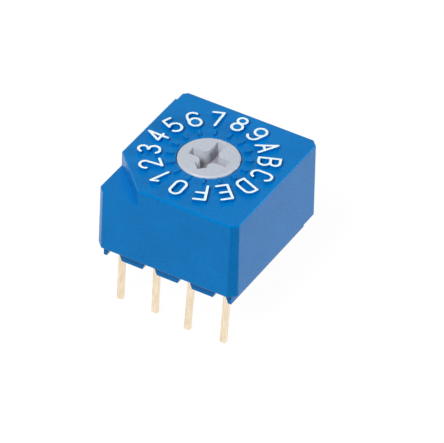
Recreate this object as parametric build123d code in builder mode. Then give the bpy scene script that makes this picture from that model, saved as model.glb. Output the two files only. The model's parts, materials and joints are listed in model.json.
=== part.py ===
"""Sixteen-position rotary code switch for a circuit board, with four pins in front and one behind.

Millimetres. +Z is up, the origin is at the middle of the footprint on the plane of the pin tips, and
the front row of pins is at -Y. The rotor's arrow points at "0", towards -Y.
"""

import math
import os

from build123d import *

# Housing, measured at its top face
width = 9.87
depth = 10.28
housing_height = 5.58
draft_angle = 0.9
corner_cut = 0.4
corner_radius = 0.1
edge_radius = 0.12
rim_radius = 0.14
roof = 0.9
wall = 0.75
skirt_wall = 0.4
notch_leg = 2.9
notch_drop = 1.15
relief_depth = 0.12
relief_start_y = 4.2

# Pins and standoffs
pitch = 2.54
row_spacing = 7.62
pins_per_row = 4
pin_width = 0.42
pin_thickness = 0.25
pin_length = 3.8
pin_chamfer = 0.05
foot_height = 0.75
foot_gap = 0.5
foot_slope = 0.27
foot_thickness = 0.5
rail_back_gap = 0.55
front_lean = (2.0, 2.1, 5.8, 4.6)
back_lean = 3.0
back_column = 2

# Base
base_thickness = 1.0
potting_depth = 0.49
base_corner_radius = 0.3
spigot_radius = 0.5
spigot_share = 0.46
boss_radius = 0.85
potting_recess = 0.1

# Rotor
rotor_radius = 2.0
rotor_gap = 0.05
rotor_rise = 0.1
hub_radius = 0.95
hub_flat = 0.8
screw_arm = 1.35
screw_long_arm = 1.6
screw_width = 0.66
screw_depth = 0.9
screw_corner = 0.38
arrow_width = 1.1
arrow_length = 0.55
arrow_reach = 1.4
screw_taper = 8.0
rotor_edge = 0.12
positions = 16
scallop_radius = 0.3
scallop_depth = 0.15

# Seal, code disc, contacts and detent
seal_section = 0.8
disc_thickness = 0.3
disc_inset = 0.07
pattern_thickness = 0.05
track_width = 0.34
common_radius = 1.3
track_step = 0.48
bit_angle = {1: 180, 2: 225, 4: 315, 8: 0}
common_angle = 67.5
spoke_width = 0.12
hub_drop = 0.3
contact_room = 0.77
contact_thickness = 0.1
contact_width = 0.4
contact_pad = 0.3
contact_tail = 0.3
contact_dip = 0.15
contact_bend = 0.15
detent_thickness = 0.12
detent_share = 0.7
detent_room = 0.59
detent_nose = 0.26

# Clearances
running = 0.03
fit = 0.02

# Dial
mark_width = 0.7
mark_height = 1.34
mark_stroke = 0.18
mark_relief = 0.25
mark_gap = 0.26
tick_gap = 0.18
tick_length = 0.5
tick_width = 0.18
tick_relief = 0.2

# Levels: the base is set from below, the roof and seal from above, and the flange takes what is left
seat_z = pin_length
rim_z = seat_z + foot_height
potting_z = rim_z + potting_recess
base_bottom_z = rim_z + potting_depth
base_z = base_bottom_z + base_thickness
contact_z = base_z + contact_room
pattern_z = contact_z + fit + pattern_thickness
disc_z = pattern_z + disc_thickness
top_z = rim_z + housing_height
rotor_z = top_z + rotor_rise
roof_z = top_z - roof
seal_z = roof_z - seal_section - 2 * fit
flange_z = seal_z - running
flange_thickness = flange_z - disc_z
hub_z = pattern_z - hub_drop
boss_z = hub_z - running
spigot_z = disc_z + spigot_share * flange_thickness

# Plan sizes that follow from the ones above
flare = housing_height * math.tan(math.radians(draft_angle))
recess_width = width + 2 * (flare - skirt_wall)
recess_depth = depth + 2 * (flare - skirt_wall)
base_width = recess_width - 2 * fit
base_depth = recess_depth - 2 * fit
foot_top_width = pitch - foot_gap
pin_columns = [pitch * (i - (pins_per_row - 1) / 2) for i in range(pins_per_row)]
row_y = row_spacing / 2
pin_places = [(x, -row_y) for x in pin_columns] + [(pin_columns[back_column], row_y)]
step_angle = 360 / positions
bits = (1, 2, 4, 8)
flange_radius = min(width, depth) / 2 - wall - detent_room
disc_radius = flange_radius - disc_inset
detent_height = detent_share * flange_thickness
bit_radius = {bit: common_radius + track_step * n for n, bit in enumerate(reversed(bits), start=1)}
tick_inner = rotor_radius + rotor_gap + tick_gap
mark_ring = tick_inner + tick_length + mark_gap + (mark_height + mark_stroke) / 2

os.makedirs("parts", exist_ok=True)


def save(piece, name):
    """Labels a finished piece and writes it as a STEP file of that name."""
    piece.part.label = name
    export_step(piece.part, f"parts/{name}.step")


def on_circle(radius, degrees):
    """The point at that radius and angle."""
    angle = math.radians(degrees)
    return (radius * math.cos(angle), radius * math.sin(angle))


# Dial characters: each is a list of centre lines, drawn about its own middle, with its top along +Y.
half_w = mark_width / 2
half_h = mark_height / 2


def stroke(*points):
    """A straight or bent centre line through the points."""
    return Wire([Edge.make_line(a, b) for a, b in zip(points, points[1:])])


def bend(x, y, radius, start, sweep):
    """A centre line along a circle about (x, y), from a start angle, through a sweep, in degrees."""
    return Wire([CenterArc((x, y), radius, start, sweep)])


def characters():
    """The centre lines of the sixteen characters, in order from 0 to F."""
    w, h = half_w, half_h
    small = 0.3
    bowl = 0.38
    low = h - w
    zero = [
        bend(0, low, w, 0, 180),
        bend(0, -low, w, 180, 180),
        stroke((-w, low), (-w, -low)),
        stroke((w, -low), (w, low)),
    ]
    one = [stroke((-0.22, h - 0.32), (0.1, h), (0.1, -h))]
    two = [
        bend(0, low, w, -25, 200),
        stroke((w * 0.9, low - 0.15), (-w, -h), (w, -h)),
    ]
    three = [
        bend(0, h - small, small, -90, 245),
        bend(0, -h + w, w, -155, 245),
    ]
    four = [
        stroke((0.15, -h), (0.15, h)),
        stroke((0.15, h), (-w, -0.25)),
        stroke((-w, -0.25), (w, -0.25)),
    ]
    five = [
        stroke((w * 0.8, h), (-w * 0.75, h), (-w * 0.85, 0.1)),
        bend(0, -h + w + 0.05, w + 0.05, -150, 290),
    ]
    six = [
        bend(0, bowl - h, bowl, 0, 360),
        bend(0, h - bowl, bowl, 35, 145),
        stroke((-bowl, h - bowl), (-bowl, bowl - h)),
    ]
    seven = [stroke((-w, h), (w, h), (-0.08, -h))]
    eight = [
        bend(0, h - small, small, 0, 360),
        bend(0, -low, w, 0, 360),
    ]
    nine = [
        bend(0, h - bowl, bowl, 0, 360),
        bend(0, bowl - h, bowl, 215, 145),
        stroke((bowl, h - bowl), (bowl, bowl - h)),
    ]
    letter_a = [
        stroke((-w, -h), (0, h), (w, -h)),
        stroke((-0.2, -0.22), (0.2, -0.22)),
    ]
    letter_b = [
        stroke((0, -h), (-w, -h), (-w, h), (0.05, h)),
        stroke((0.05, h - 2 * small), (-w, h - 2 * small)),
        bend(0.05, h - small, small, -90, 180),
        bend(0, -h + w + 0.02, w + 0.02, -90, 180),
    ]
    letter_c = [
        bend(0, low, w, 20, 160),
        stroke((-w, low), (-w, -low)),
        bend(0, -low, w, 180, 160),
    ]
    letter_d = [
        stroke((0, -h), (-w, -h), (-w, h), (0, h)),
        bend(0, low, w, 0, 90),
        stroke((w, low), (w, -low)),
        bend(0, -low, w, -90, 90),
    ]
    letter_e = [
        stroke((w, h), (-w, h), (-w, -h), (w, -h)),
        stroke((-w, 0), (w * 0.75, 0)),
    ]
    letter_f = [
        stroke((w, h), (-w, h), (-w, -h)),
        stroke((-w, 0), (w * 0.75, 0)),
    ]
    return [
        zero, one, two, three, four, five, six, seven,
        eight, nine, letter_a, letter_b, letter_c, letter_d, letter_e, letter_f,
    ]


def dial_angle(position):
    """The characters run clockwise from "0" at the front."""
    return -90 - position * step_angle


# Housing: a drafted block with a notched corner, hollow from below
with BuildPart() as housing:
    with BuildSketch(Plane.XY.offset(top_z)) as outline:
        Rectangle(width, depth)
        chamfer(outline.vertices(), corner_cut)
        fillet(outline.vertices(), corner_radius)
    extrude(amount=-housing_height, taper=-draft_angle)
    fillet(housing.faces().sort_by(Axis.Z)[0].edges(), rim_radius)
    # The recess the base fits into, the room for the rotor, the seal's seat and the rotor's hole
    with BuildSketch(Plane.XY.offset(rim_z)):
        RectangleRounded(recess_width, recess_depth, base_corner_radius)
    extrude(amount=base_z + fit - rim_z, mode=Mode.SUBTRACT)
    with BuildSketch(Plane.XY.offset(base_z + fit)):
        RectangleRounded(width - 2 * wall, depth - 2 * wall, base_corner_radius)
    extrude(amount=seal_z - base_z - fit, mode=Mode.SUBTRACT)
    with BuildSketch(Plane.XY.offset(seal_z)):
        Circle(rotor_radius + running + seal_section + fit)
    extrude(amount=roof_z - seal_z, mode=Mode.SUBTRACT)
    with BuildSketch(Plane.XY.offset(roof_z)):
        Circle(rotor_radius + rotor_gap)
    extrude(amount=roof, mode=Mode.SUBTRACT)
    # The corner notch, the shallow relief at the back of the left side, and the softened rims
    with BuildSketch(Plane.XY.offset(top_z)):
        with Locations((-width / 2, -depth / 2)):
            Rectangle(2 * notch_leg / math.sqrt(2), 2 * notch_leg, rotation=45)
    extrude(amount=-notch_drop, mode=Mode.SUBTRACT)
    with BuildSketch(Plane.XY.offset(top_z)):
        with Locations((-width / 2 + relief_depth, relief_start_y)):
            Rectangle(width, depth, align=(Align.MAX, Align.MIN))
    extrude(amount=-housing_height, taper=draft_angle, mode=Mode.SUBTRACT)
    fillet(housing.faces().sort_by(Axis.Z)[-1].outer_wire().edges(), edge_radius)
    # Raised position ticks and characters
    with BuildSketch(Plane.XY.offset(top_z)):
        for position in range(positions):
            angle = dial_angle(position)
            with Locations(Location(on_circle(tick_inner + tick_length / 2, angle), angle)):
                SlotOverall(tick_length, tick_width)
    extrude(amount=tick_relief)
    with BuildSketch(Plane.XY.offset(top_z)):
        for position, lines in enumerate(characters()):
            angle = dial_angle(position)
            with Locations(Location(on_circle(mark_ring, angle), angle - 90)):
                for line in lines:
                    SlotArc(line, mark_stroke)
    extrude(amount=mark_relief)
save(housing, "housing")


# Rotor: a capped neck, a flange with detent scallops, and a hub that carries the code disc
with BuildPart() as rotor:
    with BuildSketch(Plane.XY.offset(disc_z)):
        Circle(flange_radius)
        with PolarLocations(flange_radius - scallop_depth + scallop_radius, positions):
            Circle(scallop_radius, mode=Mode.SUBTRACT)
    extrude(amount=flange_thickness)
    with BuildSketch(Plane.XY.offset(flange_z)):
        Circle(rotor_radius)
    extrude(amount=rotor_z - flange_z)
    fillet(rotor.faces().sort_by(Axis.Z)[-1].edges(), rotor_edge)
    with BuildSketch(Plane.XY.offset(hub_z)):
        Circle(hub_radius)
        Rectangle(2 * hub_radius, 2 * hub_flat, mode=Mode.INTERSECT)
    extrude(amount=disc_z - hub_z)
    with BuildSketch(Plane.XY.offset(hub_z)):
        Circle(spigot_radius + running)
    extrude(amount=spigot_z + running - hub_z, mode=Mode.SUBTRACT)
    with BuildSketch(Plane.XY.offset(rotor_z)) as slot:
        Rectangle(2 * screw_arm, screw_width)
        with Locations((0, screw_long_arm / 2)):
            Rectangle(screw_width, screw_long_arm)
        with BuildLine():
            Polyline(
                (0, 0),
                (-screw_width / 2, 0),
                (-screw_width / 2, arrow_length - arrow_reach),
                (-arrow_width / 2, arrow_length - arrow_reach),
                (0, -arrow_reach),
                (arrow_width / 2, arrow_length - arrow_reach),
                (screw_width / 2, arrow_length - arrow_reach),
                (screw_width / 2, 0),
                close=True,
            )
        make_face()
        inner = [v for v in slot.vertices() if abs(v.X) < 0.6 * screw_width and abs(v.Y) < 0.6 * screw_width]
        fillet(inner, screw_corner)
    extrude(amount=-screw_depth, taper=screw_taper, mode=Mode.SUBTRACT)
save(rotor, "rotor")


# Seal ring around the rotor's neck
with BuildPart() as o_ring:
    with BuildSketch(Plane.XZ):
        with Locations((rotor_radius + running + seal_section / 2, seal_z + fit + seal_section / 2)):
            Circle(seal_section / 2)
    revolve(axis=Axis.Z)
save(o_ring, "o_ring")


# Code disc, keyed on the hub's flats
with BuildPart() as code_disc:
    with BuildSketch(Plane.XY.offset(pattern_z)) as blank:
        Circle(disc_radius)
        with BuildSketch(mode=Mode.PRIVATE) as key:
            Circle(hub_radius + fit)
            Rectangle(2 * hub_radius + 2 * fit, 2 * (hub_flat + fit), mode=Mode.INTERSECT)
        add(key.sketch, mode=Mode.SUBTRACT)
    extrude(amount=disc_thickness - fit)
save(code_disc, "code_disc")


# Code pattern: a common ring, and one track for each bit, joined by spokes that lie between positions
with BuildPart() as code_pattern:
    with BuildSketch(Plane.XY.offset(pattern_z - pattern_thickness)):
        Circle(common_radius + track_width / 2)
        for bit, radius in bit_radius.items():
            trim = math.degrees(track_width / 2 / radius)
            for first in range(bit, positions, 2 * bit):
                start = bit_angle[bit] + (first - 0.5) * step_angle + trim
                SlotArc(bend(0, 0, radius, start, bit * step_angle - 2 * trim), track_width)
        for spoke in range(1, positions, 2):
            angle = (spoke - 0.5) * step_angle
            SlotArc(stroke(on_circle(common_radius, angle), on_circle(bit_radius[1], angle)), spoke_width)
        Circle(common_radius - track_width / 2, mode=Mode.SUBTRACT)
    extrude(amount=pattern_thickness - 0.01)
save(code_pattern, "code_pattern")


# Detent leaf springs: each runs along a side wall and dips into a scallop of the flange
def detent_spring(side):
    """A leaf whose ends rest near the wall on that side and whose nose sits in the flange's scallop."""
    leaf_x = width / 2 - wall - fit - detent_thickness / 2
    nose_x = flange_radius - scallop_depth + scallop_radius
    bow = detent_nose - detent_thickness / 2
    turn = 70
    bend_x, bend_y = on_circle(bow, 180 - turn)
    knee_x = leaf_x - 0.06
    knee_y = bend_y + (knee_x - nose_x - bend_x) / math.tan(math.radians(turn))
    end_y = depth / 2 - wall - base_corner_radius - detent_thickness
    with BuildPart() as leaf:
        with BuildSketch(Plane.XY.offset(disc_z + (flange_thickness - detent_height) / 2)):
            SlotArc(bend(side * nose_x, 0, bow, 90 + side * 90 - turn, 2 * turn), detent_thickness)
            for end in (1, -1):
                start = (side * (nose_x + bend_x), end * bend_y)
                knee = (side * knee_x, end * knee_y)
                SlotArc(stroke(start, knee, (side * leaf_x, end * end_y)), detent_thickness)
        extrude(amount=detent_height)
    return leaf


save(detent_spring(1), "detent_spring_right")
save(detent_spring(-1), "detent_spring_left")


# Base: a plate with a skirt, the standoff feet, and the spigot the rotor turns on
with BuildPart() as base:
    with BuildSketch(Plane.XY.offset(rim_z)):
        RectangleRounded(base_width, base_depth, base_corner_radius)
    extrude(amount=base_z - rim_z)
    with BuildSketch(Plane.XY.offset(rim_z)):
        Rectangle(base_width - 2 * foot_thickness, base_depth - 2 * foot_thickness)
    extrude(amount=base_bottom_z - rim_z, mode=Mode.SUBTRACT)
    # Feet between the pins of each row, widest where they meet the skirt
    for row in (1, -1):
        with BuildSketch(Plane.XZ.offset(row * base_depth / 2)):
            for middle in range(pins_per_row - 1):
                x = pitch * (middle - (pins_per_row - 2) / 2)
                with BuildLine():
                    Polyline(
                        (x - foot_top_width / 2, rim_z),
                        (x - foot_top_width / 2 + foot_slope, seat_z),
                        (x + foot_top_width / 2 - foot_slope, seat_z),
                        (x + foot_top_width / 2, rim_z),
                        close=True,
                    )
                make_face()
        extrude(amount=-row * foot_thickness)
    # A rail along each side, from the front face to just short of the back one
    for side in (1, -1):
        with BuildSketch(Plane.XZ.offset(base_depth / 2)):
            with BuildLine():
                Polyline(
                    (side * (base_width / 2 - foot_thickness), rim_z),
                    (side * (base_width / 2 - foot_thickness + foot_slope), seat_z),
                    (side * base_width / 2, seat_z),
                    (side * base_width / 2, rim_z),
                    close=True,
                )
            make_face()
        extrude(amount=-(base_depth - rail_back_gap))
    with BuildSketch(Plane.XY.offset(base_z)):
        Circle(boss_radius)
    extrude(amount=boss_z - base_z)
    with BuildSketch(Plane.XY.offset(boss_z)):
        Circle(spigot_radius)
    extrude(amount=spigot_z - boss_z)
    with BuildSketch(Plane.XY.offset(rim_z)):
        with Locations(*pin_places):
            Rectangle(pin_width + 2 * fit, pin_thickness + 2 * fit)
    extrude(amount=base_z - rim_z, mode=Mode.SUBTRACT)
save(base, "base")


# Epoxy seal poured into the tray under the plate, around the pins
with BuildPart() as potting:
    with BuildSketch(Plane.XY.offset(potting_z)):
        Rectangle(base_width - 2 * foot_thickness - 2 * fit, base_depth - 2 * foot_thickness - 2 * fit)
        with Locations(*pin_places):
            Rectangle(pin_width + 2 * fit, pin_thickness + 2 * fit, mode=Mode.SUBTRACT)
    extrude(amount=base_bottom_z - fit - potting_z)
save(potting, "potting")


# Terminals: flat pins that leave the seal upright, then lean outwards
def terminal(column, row, lean):
    """One pin of the row at y = row * row_y, leaning outwards by that angle below the seal."""
    inner_y = row * (row_y - pin_thickness / 2)
    outer_y = row * (row_y + pin_thickness / 2)
    reach = row * potting_z * math.tan(math.radians(lean))
    with BuildPart() as pin:
        with BuildSketch(Plane.YZ.offset(pin_columns[column])):
            with BuildLine():
                Polyline(
                    (inner_y, base_z),
                    (outer_y, base_z),
                    (outer_y, potting_z),
                    (outer_y + reach, 0),
                    (inner_y + reach, 0),
                    (inner_y, potting_z),
                    close=True,
                )
            make_face()
        extrude(amount=pin_width / 2, both=True)
        sides = pin.edges().group_by(Axis.Z)[0].filter_by(Axis.Y)
        chamfer(sides, pin_chamfer)
    return pin


for column, bit in enumerate(bits):
    save(terminal(column, -1, front_lean[column]), f"terminal_bit_{bit}")
save(terminal(back_column, 1, back_lean), "terminal_common")


# Contact springs: strips that lie on the base over their terminals and rise to the code pattern
def contact_spring(start, lines):
    """A strip whose side view is drawn along the line from start, as points (distance, height)."""
    (x, y), (end_x, end_y) = start
    along = Vector(end_x - x, end_y - y, 0).normalized()
    upright = Plane(origin=(x, y, 0), x_dir=along, z_dir=(along.Y, -along.X, 0))
    upper = [(s, z + contact_thickness) for s, z in lines]
    with BuildPart() as strip:
        with BuildSketch(upright) as side_view:
            with BuildLine():
                Polyline(*lines, *reversed(upper), close=True)
            make_face()
            tips = [v for v in side_view.vertices() if upright.to_local_coords(Vector(v)).Y > peak_z - 0.001]
            fillet(tips, contact_bend)
        extrude(amount=contact_width / 2, both=True)
    return strip


flat_z = base_z + fit
peak_z = contact_z


def finger(column, row, touch_at):
    """A strip from over that terminal to the point where it touches the code pattern."""
    head_at = (pin_columns[column], row * row_y)
    reach = math.dist(head_at, touch_at)
    return contact_spring(
        (head_at, touch_at),
        [
            (-contact_pad, flat_z),
            (contact_pad, flat_z),
            (reach, peak_z - contact_thickness),
            (reach + contact_tail, peak_z - contact_thickness - contact_dip),
        ],
    )


for column, bit in enumerate(bits):
    save(finger(column, -1, on_circle(bit_radius[bit], bit_angle[bit])), f"contact_spring_bit_{bit}")
save(finger(back_column, 1, on_circle(common_radius, common_angle)), "contact_spring_common")
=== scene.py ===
# %% [markdown]
# # A sixteen-position code switch
#
# The real object is a blue moulded box one centimetre square, with a grey rotor that a screwdriver turns
# and five gold plated pins. The solid model already holds every moving and fixed piece, so this
# notebook loads it, gives each piece the finish its real material has, adds the printed tops of the
# raised characters, and sets up a small studio. Everything is in metres.

# %% Load the frame
import json
import math

import bpy
import numpy as np
from mathutils import Matrix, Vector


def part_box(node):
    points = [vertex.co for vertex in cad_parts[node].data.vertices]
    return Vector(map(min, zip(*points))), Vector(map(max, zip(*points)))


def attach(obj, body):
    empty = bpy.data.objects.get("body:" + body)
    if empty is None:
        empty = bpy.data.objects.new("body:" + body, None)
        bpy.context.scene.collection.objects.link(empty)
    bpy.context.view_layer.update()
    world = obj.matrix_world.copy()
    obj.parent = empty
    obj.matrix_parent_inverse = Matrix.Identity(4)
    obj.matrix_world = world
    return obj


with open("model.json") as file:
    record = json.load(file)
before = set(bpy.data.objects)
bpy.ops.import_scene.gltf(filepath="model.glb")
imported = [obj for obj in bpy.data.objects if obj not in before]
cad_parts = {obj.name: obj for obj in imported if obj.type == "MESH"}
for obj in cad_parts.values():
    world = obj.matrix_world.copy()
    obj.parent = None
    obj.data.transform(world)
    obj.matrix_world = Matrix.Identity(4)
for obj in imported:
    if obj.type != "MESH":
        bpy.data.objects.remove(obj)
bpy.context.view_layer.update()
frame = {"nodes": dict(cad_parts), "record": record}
nodes = frame["nodes"]
MM = 0.001
print("pieces in the frame:", len(nodes))

# %% [markdown]
# One level is read from the model rather than typed: the tops of the characters on the housing. The
# characters stand up by a quarter of a millimetre, and the flat top lies that far below them.

# %% Levels
raised_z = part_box("housing")[1].z
character_height = 0.25 * MM
top_z = raised_z - character_height
print("top face at", round(top_z / MM, 3), "mm, characters up to", round(raised_z / MM, 3), "mm")

# %% [markdown]
# ## Tools for materials
#
# Colours are easiest to judge as the hex values a screen shows, but a renderer adds light up in linear
# values. One function turns the first into the second. Another adds a node with its settings and its
# links in one line, which keeps each material short enough to read.


# %% Colour and node helpers
def colour(hex_value):
    """Linear RGBA of an sRGB hex value: a straight part near black, a 2.4 power above it."""
    channels = np.array([int(hex_value[i : i + 2], 16) for i in (1, 3, 5)]) / 255
    linear = np.where(channels <= 0.04045, channels / 12.92, ((channels + 0.055) / 1.055) ** 2.4)
    return (*linear.tolist(), 1.0)


def add(tree, kind, links=None, sockets=None, **settings):
    """A new node of that kind, with plain settings, values for its sockets, and links into it."""
    node = tree.nodes.new(kind)
    for name, value in settings.items():
        setattr(node, name, value)
    for name, value in (sockets or {}).items():
        node.inputs[name].default_value = value
    for name, source in (links or {}).items():
        tree.links.new(source, node.inputs[name])
    return node


def new_material(name, **sockets):
    """An empty material with a Principled shader, its sockets set, and the object's coordinates."""
    material = bpy.data.materials.new(name)
    material.use_nodes = True
    tree = material.node_tree
    shader = tree.nodes["Principled BSDF"]
    for socket, value in sockets.items():
        shader.inputs[socket.replace("_", " ")].default_value = value
    place = add(tree, "ShaderNodeTexCoord").outputs["Object"]
    return material, tree, shader, place


def shades(tree, factor, *stops):
    """A colour ramp over a factor: each stop is (position, sRGB hex value)."""
    ramp = add(tree, "ShaderNodeValToRGB", {"Fac": factor})
    elements = ramp.color_ramp.elements
    while len(elements) < len(stops):
        elements.new(0.5)
    for element, (position, hex_value) in zip(elements, stops):
        element.position = position
        element.color = colour(hex_value)
    return ramp.outputs["Color"]


print("white is", colour("#ffffff")[:3])

# %% [markdown]
# ## The blue housing
#
# The housing is glass-filled polyester moulded in a steel tool whose walls were spark eroded. That leaves
# an even matte grain of about 0.03 mm. A grain that fine is smaller than the render can show, so it is
# drawn at 0.14 mm. The gloss of a rough plastic is faint when seen square on and strong at a glancing
# angle, which is why one side of such a box looks paler when it stands on white paper. The pigment lies
# up to the very surface, so what little is reflected square on is blue too: that is the specular tint.


# %% Blue polyester
def blue_polyester(name, deep, mid, light, grain):
    """Moulded glass-filled polyester with a spark-eroded grain: grain is the spacing in metres."""
    material, tree, shader, place = new_material(name, Roughness=0.34, IOR=1.55)
    shader.inputs["Specular Tint"].default_value = colour("#0078c8")
    grit = {"Scale": 1 / grain, "Detail": 3.0, "Roughness": 0.6}
    fine = add(tree, "ShaderNodeTexNoise", {"Vector": place}, grit)
    flow = add(tree, "ShaderNodeTexNoise", {"Vector": place}, {"Scale": 1 / (2.5 * MM), "Detail": 2.0})
    mix = add(tree, "ShaderNodeMix", {"A": fine.outputs["Fac"], "B": flow.outputs["Fac"]}, {"Factor": 0.35})
    tone = shades(tree, mix.outputs["Result"], (0.3, deep), (0.5, mid), (0.7, light))
    tree.links.new(tone, shader.inputs["Base Color"])
    rough = add(
        tree,
        "ShaderNodeMapRange",
        {"Value": fine.outputs["Fac"]},
        {"From Min": 0.3, "From Max": 0.7, "To Min": 0.22, "To Max": 0.44},
    )
    tree.links.new(rough.outputs["Result"], shader.inputs["Roughness"])
    pits = {"Strength": 0.5, "Distance": 0.02 * MM}
    bump = add(tree, "ShaderNodeBump", {"Height": fine.outputs["Fac"]}, pits)
    tree.links.new(bump.outputs["Normal"], shader.inputs["Normal"])
    return material


housing_blue = blue_polyester("spark_eroded_blue_polyester", "#0068aa", "#0070b6", "#007ac2", 0.14 * MM)
base_blue = blue_polyester("smooth_blue_polyester", "#0062a2", "#0069ac", "#0070b4", 0.25 * MM)
print("blues:", housing_blue.name, base_blue.name)

# %% [markdown]
# ## The grey rotor
#
# The rotor is unfilled acetal, a slightly waxy light grey. A fine noise breaks its gloss, and the walls of
# its recess are painted darker with depth: painted shade for the shade that falls in the recess.


# %% Grey acetal
def grey_acetal():
    material, tree, shader, place = new_material("grey_acetal", Roughness=0.42, IOR=1.48)
    shader.inputs["Subsurface Weight"].default_value = 0.08
    shader.inputs["Subsurface Radius"].default_value = (0.2 * MM, 0.2 * MM, 0.2 * MM)
    shader.inputs["Subsurface Scale"].default_value = 1.0
    fine = add(tree, "ShaderNodeTexNoise", {"Vector": place}, {"Scale": 1 / (0.14 * MM), "Detail": 3.0})
    tone = shades(tree, fine.outputs["Fac"], (0.3, "#b2b7c1"), (0.5, "#b8bec8"), (0.7, "#bec4ce"))
    height = add(tree, "ShaderNodeSeparateXYZ", {"Vector": place}).outputs["Z"]
    # Painted shade: the recess walls turn a darker grey with depth, standing in for the shade in the recess.
    deep = add(
        tree,
        "ShaderNodeMapRange",
        {"Value": height},
        {"From Min": top_z - 0.9 * MM, "From Max": top_z - 0.2 * MM, "To Min": 1.0, "To Max": 0.0},
    )
    recess_painted_shade = add(
        tree,
        "ShaderNodeMix",
        {"Factor": deep.outputs["Result"], "A": tone},
        {"B": colour("#8f8b90")},
        data_type="RGBA",
    )
    tree.links.new(recess_painted_shade.outputs["Result"], shader.inputs["Base Color"])
    waves = {"Strength": 0.1, "Distance": 0.01 * MM}
    bump = add(tree, "ShaderNodeBump", {"Height": fine.outputs["Fac"]}, waves)
    tree.links.new(bump.outputs["Normal"], shader.inputs["Normal"])
    return material


rotor_grey = grey_acetal()
print("rotor:", rotor_grey.name)

# %% [markdown]
# ## Gold plated pins and springs
#
# The pins are stamped from brass strip and plated with nickel and thin gold. Stamping leaves draw lines
# along the strip, so the noise is stretched ten times along each pin. A metal keeps the default IOR, and
# its colour is the colour of its reflections.


# %% Plated strip
def plated_strip(name, dark, light, roughness, lines):
    """Rolled and plated metal: lines is the spacing of the rolling marks in metres."""
    material, tree, shader, place = new_material(name, Metallic=1.0, Roughness=roughness)
    stretch = add(tree, "ShaderNodeMapping", {"Vector": place}, {"Scale": (1.0, 1.0, 0.1)})
    spacing = {"Scale": 1 / lines, "Detail": 2.0}
    marks = add(tree, "ShaderNodeTexNoise", {"Vector": stretch.outputs["Vector"]}, spacing)
    tone = shades(tree, marks.outputs["Fac"], (0.3, dark), (0.7, light))
    tree.links.new(tone, shader.inputs["Base Color"])
    rough = add(
        tree,
        "ShaderNodeMapRange",
        {"Value": marks.outputs["Fac"]},
        {"From Min": 0.3, "From Max": 0.7, "To Min": roughness - 0.06, "To Max": roughness + 0.08},
    )
    tree.links.new(rough.outputs["Result"], shader.inputs["Roughness"])
    scratches = {"Strength": 0.2, "Distance": 0.005 * MM}
    bump = add(tree, "ShaderNodeBump", {"Height": marks.outputs["Fac"]}, scratches)
    tree.links.new(bump.outputs["Normal"], shader.inputs["Normal"])
    return material


pin_gold = plated_strip("gold_plated_brass", "#e6cfae", "#f8ead4", 0.34, 0.08 * MM)
contact_gold = plated_strip("gold_plated_bronze", "#cf9b57", "#e6bd7c", 0.3, 0.08 * MM)
detent_steel = plated_strip("rolled_stainless_steel", "#a9a9ab", "#c9c9ca", 0.28, 0.06 * MM)
print("metals:", pin_gold.name, contact_gold.name, detent_steel.name)

# %% [markdown]
# ## What is inside
#
# The code disc is woven glass laminate with etched and plated tracks, the seal ring is nitrile rubber, and
# the pins are set in black epoxy. Each is plain, but none is one flat colour: laminate shows its weave,
# rubber has a dull bloom, and epoxy settles with slow waves.


# %% Laminate, rubber and epoxy
def quiet_material(name, dark, light, roughness, spacing, depth):
    """A plain finish with a slight change of tone and a bump, both of that spacing in metres."""
    material, tree, shader, place = new_material(name, Roughness=roughness)
    noise = add(tree, "ShaderNodeTexNoise", {"Vector": place}, {"Scale": 1 / spacing, "Detail": 2.0})
    tone = shades(tree, noise.outputs["Fac"], (0.35, dark), (0.65, light))
    tree.links.new(tone, shader.inputs["Base Color"])
    bump = add(tree, "ShaderNodeBump", {"Height": noise.outputs["Fac"]}, {"Strength": 0.3, "Distance": depth})
    tree.links.new(bump.outputs["Normal"], shader.inputs["Normal"])
    return material


def woven_laminate():
    """Glass laminate: two sets of waves at right angles give its plain weave, 0.5 mm apart."""
    material, tree, shader, place = new_material("woven_glass_laminate", Roughness=0.4, IOR=1.52)
    weave = [
        add(
            tree,
            "ShaderNodeTexWave",
            {"Vector": place},
            {"Scale": 0.314 / (0.5 * MM), "Distortion": 0.4},
            bands_direction=direction,
        ).outputs["Fac"]
        for direction in ("X", "Y")
    ]
    both = add(tree, "ShaderNodeMath", operation="MULTIPLY")
    tree.links.new(weave[0], both.inputs[0])
    tree.links.new(weave[1], both.inputs[1])
    tone = shades(tree, both.outputs["Value"], (0.0, "#1f5a33"), (1.0, "#2c7444"))
    tree.links.new(tone, shader.inputs["Base Color"])
    return material


laminate = woven_laminate()
nitrile = quiet_material("nitrile_rubber", "#161616", "#202021", 0.65, 0.3 * MM, 0.005 * MM)
epoxy = quiet_material("black_epoxy", "#131315", "#1c1c1f", 0.25, 2.0 * MM, 0.04 * MM)
print("inside:", laminate.name, nitrile.name, epoxy.name)

# %% Give every solid its finish
finishes = {
    "blue_plastic": housing_blue,
    "base_plastic": base_blue,
    "grey_plastic": rotor_grey,
    "rubber": nitrile,
    "laminate": laminate,
    "gold_plate": contact_gold,
    "epoxy": epoxy,
    "pin_metal": pin_gold,
    "spring_metal": contact_gold,
    "detent_steel": detent_steel,
}
for part in frame["record"]["subparts"]:
    solid = nodes[part["node"]]
    solid.data.materials.clear()
    solid.data.materials.append(finishes[part["material_slot"]])
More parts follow.
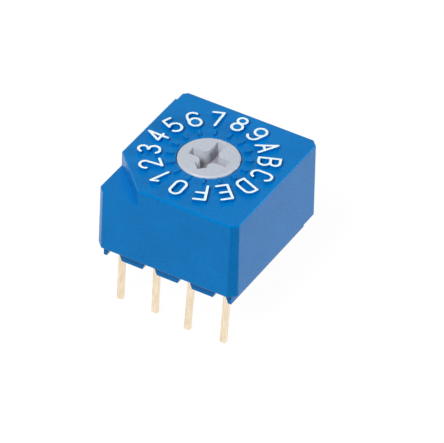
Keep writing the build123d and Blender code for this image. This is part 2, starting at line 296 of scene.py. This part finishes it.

# %% [markdown]
# ## The printed characters
#
# On the real switch a hot roller presses white foil onto the tops of the raised characters, and their
# sides stay blue. A texture could paint that, but its edge would blur if the model were exported. So the
# foil is real geometry: for each pen stroke, a flat lens-shaped profile is carried along the stroke's
# centre line and closes to a point at both ends.


# %% Foil along a stroke
def foil(line, half_width, half_thickness, sides=12, cap_rows=4):
    """Vertices and faces of a flattened tube along a plane line. Its section is an ellipse, half_width
    across and half_thickness up: (cos a, sin a) for an angle a. Past each end of the line the section
    shrinks as the square root of one less the square of the distance, which makes a round end."""
    line = np.asarray(line, float)
    steps = np.diff(line, axis=0)
    lengths = np.hypot(*steps.T)
    unit = steps / lengths[:, None]
    tangents = np.vstack([unit[:1], (unit[1:] + unit[:-1]) / 2, unit[-1:]])
    tangents /= np.hypot(*tangents.T)[:, None]
    beyond = np.sin(np.linspace(0, np.pi / 2, cap_rows + 1))[1:] * 0.999
    closing = np.sqrt(1 - beyond**2)
    centres = np.vstack(
        [
            line[0] - unit[0] * (beyond[::-1, None] * half_width),
            line,
            line[-1] + unit[-1] * (beyond[:, None] * half_width),
        ]
    )
    caps = np.repeat(tangents[:1], cap_rows, 0), np.repeat(tangents[-1:], cap_rows, 0)
    across = np.vstack([caps[0], tangents, caps[1]])
    across = np.stack([-across[:, 1], across[:, 0]], axis=1)
    scale = np.concatenate([closing[::-1], np.ones(len(line)), closing])
    angle = np.linspace(0, 2 * np.pi, sides, endpoint=False)
    offset = scale[:, None] * half_width * np.cos(angle)
    x = centres[:, None, 0] + across[:, None, 0] * offset
    y = centres[:, None, 1] + across[:, None, 1] * offset
    z = scale[:, None] * half_thickness * np.sin(angle)
    points = np.stack([x, y, z], axis=-1).reshape(-1, 3)
    rows = len(scale)
    i, j = np.meshgrid(np.arange(rows - 1), np.arange(sides), indexing="ij")
    k = (j + 1) % sides
    quads = np.stack([i * sides + j, i * sides + k, (i + 1) * sides + k, (i + 1) * sides + j], axis=-1)
    ends = [list(range(sides))[::-1], list(range((rows - 1) * sides, rows * sides))]
    return points, quads.reshape(-1, 4).tolist() + ends


def bend(x, y, radius, start, sweep):
    """Points along a circle about (x, y), from a start angle, through a sweep, in degrees."""
    count = max(4, int(abs(sweep) / 12) + 1)
    angle = np.radians(start + sweep * np.linspace(0, 1, count))
    return np.stack([x + radius * np.cos(angle), y + radius * np.sin(angle)], axis=1)


print("foil test:", foil([(0, 0), (1, 0)], 0.1, 0.01)[0].shape)

# %% [markdown]
# The characters are drawn in millimetres about their own middles with their tops along +Y, as lists of
# pen strokes: straight runs and arcs of a circle. They are the strokes that the housing's mould was cut
# with. A run with a sharp corner is split there, so each stroke bends smoothly.

# %% Pen strokes of 0 to F
W, H, SMALL, BOWL = 0.35, 0.67, 0.3, 0.38
LOW = H - W


def runs(*corners):
    """Each straight run between neighbouring corners, as a stroke of its own."""
    return [np.array([a, b]) for a, b in zip(corners, corners[1:])]


characters = {
    "0": [np.vstack([bend(0, LOW, W, 0, 180), bend(0, -LOW, W, 180, 180), [(W, LOW)]])],
    "1": runs((-0.22, H - 0.32), (0.1, H), (0.1, -H)),
    "2": [bend(0, LOW, W, -25, 200)] + runs((W * 0.9, LOW - 0.15), (-W, -H), (W, -H)),
    "3": [bend(0, H - SMALL, SMALL, -90, 245), bend(0, W - H, W, -155, 245)],
    "4": runs((0.15, -H), (0.15, H), (-W, -0.25), (W, -0.25)),
    "5": runs((W * 0.8, H), (-W * 0.75, H), (-W * 0.85, 0.1)) + [bend(0, W - H + 0.05, W + 0.05, -150, 290)],
    "6": [
        bend(0, BOWL - H, BOWL, 0, 360),
        np.vstack([bend(0, H - BOWL, BOWL, 35, 145), [(-BOWL, BOWL - H)]]),
    ],
    "7": runs((-W, H), (W, H), (-0.08, -H)),
    "8": [bend(0, H - SMALL, SMALL, 0, 360), bend(0, -LOW, W, 0, 360)],
    "9": [
        bend(0, H - BOWL, BOWL, 0, 360),
        np.vstack([bend(0, BOWL - H, BOWL, 215, 145), [(BOWL, H - BOWL)]]),
    ],
    "A": runs((-W, -H), (0, H), (W, -H)) + runs((-0.2, -0.22), (0.2, -0.22)),
    "B": runs((0, -H), (-W, -H), (-W, H), (0.05, H))
    + [bend(0.05, H - SMALL, SMALL, -90, 180), bend(0, W - H + 0.02, W + 0.02, -90, 180)]
    + runs((0.05, H - 2 * SMALL), (-W, H - 2 * SMALL)),
    "C": [np.vstack([bend(0, LOW, W, 20, 160), bend(0, -LOW, W, 180, 160)])],
    "D": runs((0, -H), (-W, -H), (-W, H), (0, H))
    + [np.vstack([bend(0, -LOW, W, -90, 90), bend(0, LOW, W, 0, 90)])],
    "E": runs((W, H), (-W, H), (-W, -H), (W, -H)) + runs((-W, 0), (W * 0.75, 0)),
    "F": runs((W, H), (-W, H), (-W, -H)) + runs((-W, 0), (W * 0.75, 0)),
}
print("strokes:", sum(len(strokes) for strokes in characters.values()))

# %% [markdown]
# The sixteen characters stand on a ring, evenly spaced and clockwise from 0 at the front, with their
# tops outwards. All strokes are turned and moved as arrays and joined into one mesh.

# %% White foil
foil_half_width = 0.084
foil_half_thickness = 0.012
ring_radius = 3.75


def foil_ring():
    """One mesh of all foil strokes. A character k is turned by -90 - 22.5 k degrees, less a quarter turn,
    and moved out to the ring along that same direction."""
    points, faces, count = [], [], 0
    for k, strokes in enumerate(characters.values()):
        angle = math.radians(-90 - 22.5 * k)
        out = np.array([math.cos(angle), math.sin(angle)])
        up = angle - math.pi / 2
        turn = np.array([[math.cos(up), -math.sin(up)], [math.sin(up), math.cos(up)]])
        for line in strokes:
            p, f = foil(np.asarray(line) @ turn.T + out * ring_radius, foil_half_width, foil_half_thickness)
            points.append(p)
            faces += [[index + count for index in face] for face in f]
            count += len(p)
    place = np.vstack(points) * MM
    place[:, 2] += raised_z
    mesh = bpy.data.meshes.new("white_foil")
    mesh.from_pydata(place.tolist(), [], faces)
    mesh.shade_smooth()
    piece = bpy.data.objects.new("white_foil", mesh)
    bpy.context.scene.collection.objects.link(piece)
    return piece


white_foil = quiet_material("white_stamping_foil", "#dcebf2", "#ecf6fb", 0.5, 0.2 * MM, 0.01 * MM)
printed = foil_ring()
printed.data.materials.append(white_foil)
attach(printed, "switch_body")
print("foil triangles:", sum(len(p.vertices) - 2 for p in printed.data.polygons))

# %% [markdown]
# ## The studio
#
# The switch stands on its pins on white paper. The floor is a sweep: flat in front, curving up behind. To
# the camera and in reflections it is white. For bounced light it is a mid grey, so that it doesn't flood
# the sides of the box from below. Its white part is a little stronger than one, to make up for the share
# that the grey part takes.


# %% Paper sweep
white_share = 0.86
white_strength = 1.12


def looked_at(tree):
    """One for rays from the camera or through a reflection or glass, zero for bounced light."""
    rays = add(tree, "ShaderNodeLightPath").outputs
    seen = rays["Is Camera Ray"]
    for kind in ("Is Glossy Ray", "Is Transmission Ray"):
        either = add(tree, "ShaderNodeMath", operation="MAXIMUM")
        tree.links.new(seen, either.inputs[0])
        tree.links.new(rays[kind], either.inputs[1])
        seen = either.outputs["Value"]
    return seen


def paper_material():
    """Paper that mixes a grey diffuse face, for bounced light and shadows, with plain white."""
    material = bpy.data.materials.new("white_paper")
    material.use_nodes = True
    tree = material.node_tree
    tree.nodes.clear()
    share = add(tree, "ShaderNodeMath", operation="MULTIPLY")
    tree.links.new(looked_at(tree), share.inputs[0])
    share.inputs[1].default_value = white_share
    paper = add(tree, "ShaderNodeBsdfDiffuse", sockets={"Color": colour("#a8a8a8")})
    glow = add(tree, "ShaderNodeEmission", sockets={"Color": (1, 1, 1, 1), "Strength": white_strength})
    mixed = add(tree, "ShaderNodeMixShader", {"Fac": share.outputs["Value"]})
    tree.links.new(paper.outputs["BSDF"], mixed.inputs[1])
    tree.links.new(glow.outputs["Emission"], mixed.inputs[2])
    add(tree, "ShaderNodeOutputMaterial", {"Surface": mixed.outputs["Shader"]})
    return material


def sweep(width, front, bend_at, radius, height):
    """A floor that turns up into a wall: a profile in Y and Z (flat, quarter circle, upright) drawn
    along X. Its two parameters are the distance along the profile and the place across."""
    arc = np.linspace(0, np.pi / 2, 17)
    y = np.concatenate([[-front], bend_at + radius * np.sin(arc), [bend_at + radius]])
    z = np.concatenate([[0.0], radius * (1 - np.cos(arc)), [height]])
    x = np.array([-width / 2, width / 2])
    grid = np.stack(np.broadcast_arrays(x[None, :], y[:, None], z[:, None]), axis=-1).reshape(-1, 3)
    i = np.arange(len(y) - 1)
    quads = np.stack([2 * i, 2 * i + 1, 2 * i + 3, 2 * i + 2], axis=-1)
    mesh = bpy.data.meshes.new("paper_sweep")
    mesh.from_pydata(grid.tolist(), [], quads.tolist())
    mesh.shade_smooth()
    piece = bpy.data.objects.new("paper_sweep", mesh)
    bpy.context.scene.collection.objects.link(piece)
    return piece


floor = sweep(width=3.0, front=1.5, bend_at=0.9, radius=0.3, height=1.6)
floor.data.materials.append(paper_material())
print("floor at z =", 0.0)

# %% [markdown]
# The lamps are soft boxes. The key hangs in front and above, so the front and top faces are nearly as
# bright as each other and the cut corners between the sides fall darker. A low one stands behind on the
# right for the right face. Beyond the paper the room is white to look at, and gives only a little light.


# %% Lamps
def soft_box(name, azimuth, elevation, distance, size, watts):
    """An area lamp that looks at the object: azimuth 0 is the front and 90 the right."""
    a, e = math.radians(azimuth), math.radians(elevation)
    back = np.array([math.sin(a) * math.cos(e), -math.cos(a) * math.cos(e), math.sin(e)])
    lamp = bpy.data.lights.new(name, "AREA")
    lamp.shape = "SQUARE"
    lamp.size = size
    lamp.energy = watts
    holder = bpy.data.objects.new(name, lamp)
    holder.location = back * distance + np.array([0, 0, 0.006])
    holder.rotation_euler = (math.pi / 2 - e, 0, a)
    bpy.context.scene.collection.objects.link(holder)
    return holder


key = soft_box("key", -6, 50, 0.30, 0.14, 0.98)
side = soft_box("side", 125, 14, 0.30, 0.12, 0.62)
world = bpy.data.worlds.new("studio")
bpy.context.scene.world = world
world.use_nodes = True
sky = world.node_tree.nodes["Background"]
sky.inputs["Color"].default_value = (1, 1, 1, 1)
strength = add(
    world.node_tree,
    "ShaderNodeMapRange",
    {"Value": looked_at(world.node_tree)},
    {"To Min": 0.15, "To Max": 1.0},
)
world.node_tree.links.new(strength.outputs["Result"], sky.inputs["Strength"])
print("lamps:", key.name, side.name)

# %% [markdown]
# ## The camera
#
# A long lens from about 28 cm away looks down by 39 degrees. The view is rolled by 2 degrees, which is
# why the upright edges lean a little.

# %% Camera
azimuth, elevation, roll = map(math.radians, (29.31, 38.89, 1.94))
distance = 284.4 * MM
aim = np.array([0, 0, 4.55 * MM])
back = np.array(
    [
        math.sin(azimuth) * math.cos(elevation),
        -math.cos(azimuth) * math.cos(elevation),
        math.sin(elevation),
    ]
)
right = np.array([math.cos(azimuth), math.sin(azimuth), 0])
up = np.cross(back, right)
x_axis = right * math.cos(roll) + up * math.sin(roll)
y_axis = up * math.cos(roll) - right * math.sin(roll)
lens = bpy.data.cameras.new("camera")
lens.sensor_width = 36
lens.lens = 368.2
lens.shift_x = 0.0345
lens.shift_y = 0.0160
lens.clip_start = 0.01
lens.clip_end = 20
camera = bpy.data.objects.new("camera", lens)
matrix = np.eye(4)
matrix[:3, 0] = x_axis
matrix[:3, 1] = y_axis
matrix[:3, 2] = back
matrix[:3, 3] = aim + back * distance
camera.matrix_world = Matrix(matrix.tolist())
bpy.context.scene.collection.objects.link(camera)
bpy.context.scene.camera = camera
bpy.context.scene.view_settings.view_transform = "Standard"
print("camera at", [round(v, 4) for v in camera.matrix_world.translation])
